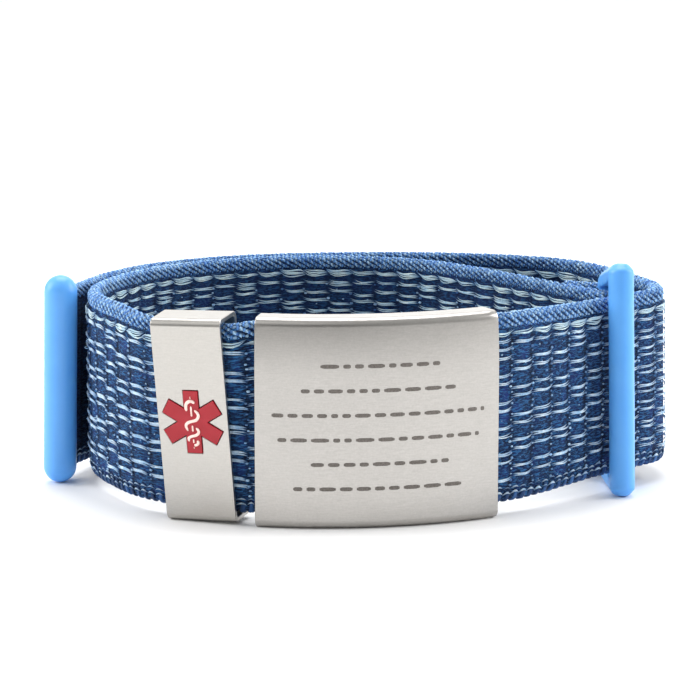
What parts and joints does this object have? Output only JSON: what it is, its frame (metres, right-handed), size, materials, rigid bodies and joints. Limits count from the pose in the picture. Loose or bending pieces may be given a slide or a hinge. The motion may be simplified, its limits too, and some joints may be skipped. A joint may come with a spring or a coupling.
{
  "type": "medical alert bracelet",
  "caption": "Woven strap bracelet run back through a buckle ring and fastened on itself, with a bowed steel identity plate and a slide bearing an enamelled six-armed medical star.",
  "frame": {"origin": "centre of the bounding box in X and Y, at the lowest point in Z", "axes": "+X along the loop's width towards the buckle ring, -Y towards the identity plate, +Z along the strap's width, upwards"},
  "size_m": [0.0682, 0.0472, 0.0247],
  "materials": {
    "strap_weave": "blue woven nylon with pale thread floats and braided edges",
    "ring_plastic": "satin light blue moulded plastic",
    "bar_plastic": "satin light blue moulded plastic",
    "plate_steel": "finely brushed stainless steel",
    "slide_steel": "finely brushed stainless steel",
    "enamel": "red enamel filled flush and slightly domed",
    "emblem_steel": "bare bright metal relief"
  },
  "bodies": {
    "root": {"strap": "strap_weave", "buckle_ring": "ring_plastic", "end_bar": "bar_plastic", "plate": "plate_steel", "slide": "slide_steel", "star": "enamel", "emblem": "emblem_steel"}
  },
  "joints": []
}
